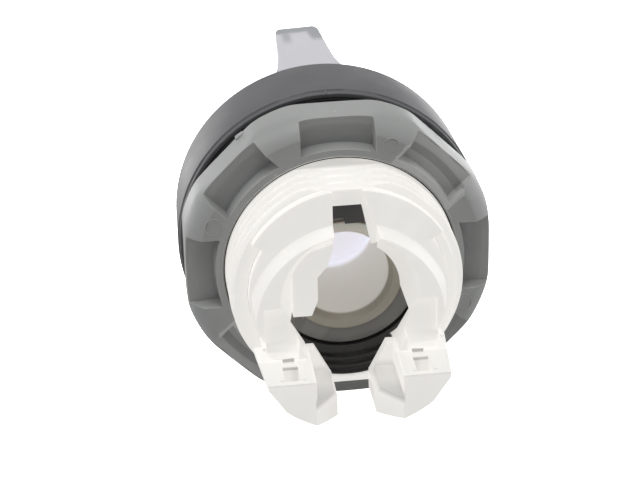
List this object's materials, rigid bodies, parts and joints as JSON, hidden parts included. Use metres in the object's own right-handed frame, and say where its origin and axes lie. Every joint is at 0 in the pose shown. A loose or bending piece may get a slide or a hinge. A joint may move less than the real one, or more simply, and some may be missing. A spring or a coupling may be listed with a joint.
{
  "type": "illuminated rotary selector switch",
  "caption": "Illuminated rotary selector operator for a round panel hole, with a clear handle, a ring nut and rear legs that press contact blocks.",
  "frame": {"origin": "on the switch's axis at the rear face of the gasket, where the panel's front face lies", "axes": "+Y along the axis, away from the handle and into the panel; +Z towards twelve o'clock, where the handle points at rest"},
  "size_m": [0.0295, 0.0429, 0.0294],
  "materials": {
    "black_plastic": "satin moulded black",
    "dark_plastic": "glossy moulded black",
    "rotor_plastic": "dark grey moulded",
    "grey_plastic": "mid-grey moulded, fibre filled",
    "white_plastic": "warm white moulded",
    "insert_white": "translucent white",
    "clear_plastic": "clear moulded, lightly frosted",
    "lens_plastic": "translucent milky",
    "rubber": "dark moulded rubber",
    "steel": "bright spring steel"
  },
  "bodies": {
    "base": {"housing": "white_plastic", "bezel_ring": "black_plastic", "bezel_seal": "rubber", "panel_gasket": "rubber", "rear_cap": "white_plastic", "guide_ring": "dark_plastic", "knob_seal": "rubber", "left_detent_ball": "steel", "right_detent_ball": "steel", "left_detent_spring": "steel", "right_detent_spring": "steel"},
    "knob": {"knob_shell": "clear_plastic", "knob_diffuser": "insert_white", "lens_cup": "lens_plastic", "rotor": "rotor_plastic", "cam_ring": "dark_plastic", "rotor_clip": "steel"},
    "nut": {"mounting_nut": "grey_plastic"},
    "left_leg": {"left_plunger": "white_plastic"},
    "right_leg": {"right_plunger": "white_plastic"}
  },
  "joints": [
    {"name": "knob_turn", "type": "hinge", "parent": "base", "child": "knob", "pos_m": [0, 0, 0], "axis": [0, 1, 0], "range_deg": [0, 45]},
    {"name": "nut_travel", "type": "slide", "parent": "base", "child": "nut", "axis": [0, 1, 0], "range_m": [0, 0.006]},
    {"name": "left_leg_slide", "type": "slide", "parent": "base", "child": "left_leg", "axis": [0, 1, 0], "range_m": [0, 0.002]},
    {"name": "right_leg_slide", "type": "slide", "parent": "base", "child": "right_leg", "axis": [0, 1, 0], "range_m": [0, 0.002]}
  ],
  "couplings": [
    {"joint": "left_leg_slide", "follows": "knob_turn", "m_per_rad": 0.0025465},
    {"joint": "right_leg_slide", "follows": "knob_turn", "m_per_rad": 0.0025465}
  ]
}
